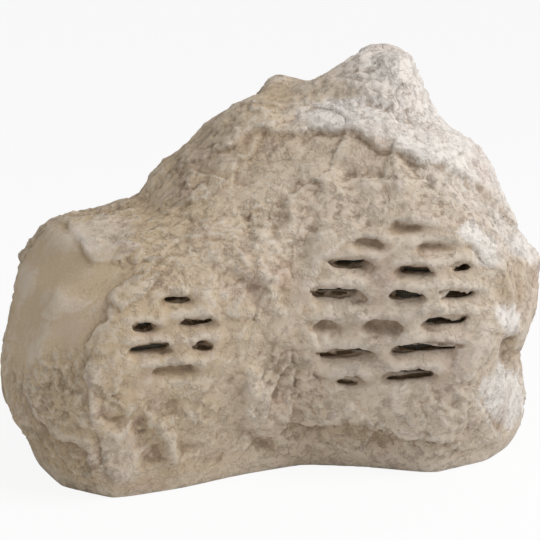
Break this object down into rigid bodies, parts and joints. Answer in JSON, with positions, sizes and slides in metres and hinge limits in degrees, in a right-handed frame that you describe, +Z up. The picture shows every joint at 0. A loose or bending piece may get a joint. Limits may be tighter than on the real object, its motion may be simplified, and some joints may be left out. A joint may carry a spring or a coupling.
{
  "type": "rock shaped garden speaker",
  "caption": "Garden loudspeaker hidden in a hollow cast boulder, with a woofer and a tweeter behind rough louvres, a screwed base plate and a cable gland.",
  "frame": {"origin": "on the ground, under the middle of the rock's box", "axes": "+Z up, the louvred front faces -Y, +X to the right seen from the front"},
  "size_m": [0.4266, 0.3028, 0.312],
  "materials": {
    "rock": "rough cast sandstone",
    "screen_mesh": "dark woven mesh",
    "base_plastic": "moulded",
    "gasket_foam": "closed-cell foam",
    "zinc_screw": "zinc plated",
    "circuit_board": "lacquered laminate",
    "copper_wire": "enamelled winding",
    "capacitor_film": "dipped film",
    "cement": "white cement",
    "terminal_plastic": "moulded",
    "gland_plastic": "moulded nylon",
    "gland_rubber": "soft seal",
    "painted_steel": "satin black paint",
    "plated_steel": "zinc plated",
    "ferrite": "ground ferrite",
    "roll_rubber": "soft moulded roll",
    "cone_plastic": "mica-filled polypropylene",
    "former_foil": "foil",
    "spider_cloth": "resin-treated weave",
    "fibre_strip": "pressed fibre with blades",
    "faceplate_plastic": "moulded",
    "dome_film": "coated dome"
  },
  "bodies": {
    "enclosure": {"rock_shell": "rock", "woofer_dust_screen": "screen_mesh", "tweeter_dust_screen": "screen_mesh", "base_plate": "base_plastic", "base_gasket": "gasket_foam", "base_screws": "zinc_screw", "crossover_board": "circuit_board", "crossover_screws": "zinc_screw", "low_pass_inductor": "copper_wire", "high_pass_inductor": "copper_wire", "woofer_capacitor": "capacitor_film", "tweeter_capacitor": "capacitor_film", "tweeter_resistor": "cement", "terminal_block": "terminal_plastic", "cable_gland_body": "gland_plastic", "cable_gland_seal": "gland_rubber", "cable_gland_nut": "gland_plastic", "cable_gland_locknut": "gland_plastic", "woofer_gasket": "gasket_foam", "woofer_frame": "painted_steel", "woofer_surround": "roll_rubber", "woofer_spider": "spider_cloth", "woofer_top_plate": "plated_steel", "woofer_magnet": "ferrite", "woofer_yoke": "plated_steel", "woofer_terminal_strip": "fibre_strip", "woofer_screws": "zinc_screw", "tweeter_gasket": "gasket_foam", "tweeter_faceplate": "faceplate_plastic", "tweeter_surround": "roll_rubber", "tweeter_top_plate": "plated_steel", "tweeter_magnet": "ferrite", "tweeter_back_plate": "plated_steel", "tweeter_terminal_strip": "fibre_strip", "tweeter_screws": "zinc_screw"},
    "woofer_cone_assembly": {"woofer_cone": "cone_plastic", "woofer_dust_cap": "cone_plastic", "woofer_coil_former": "former_foil", "woofer_voice_coil": "copper_wire"},
    "tweeter_dome_assembly": {"tweeter_dome": "dome_film", "tweeter_voice_coil": "copper_wire"}
  },
  "joints": [
    {"name": "woofer_cone_travel", "type": "slide", "parent": "enclosure", "child": "woofer_cone_assembly", "axis": [0, -0.9848, 0.1736], "range_m": [-0.004, 0.004], "stiffness_N_per_m": 1000, "deforming": ["woofer_surround", "woofer_spider"]},
    {"name": "tweeter_dome_travel", "type": "slide", "parent": "enclosure", "child": "tweeter_dome_assembly", "axis": [0, -0.9781, 0.2079], "range_m": [-0.0003, 0.0003], "stiffness_N_per_m": 500, "deforming": ["tweeter_surround"]}
  ]
}
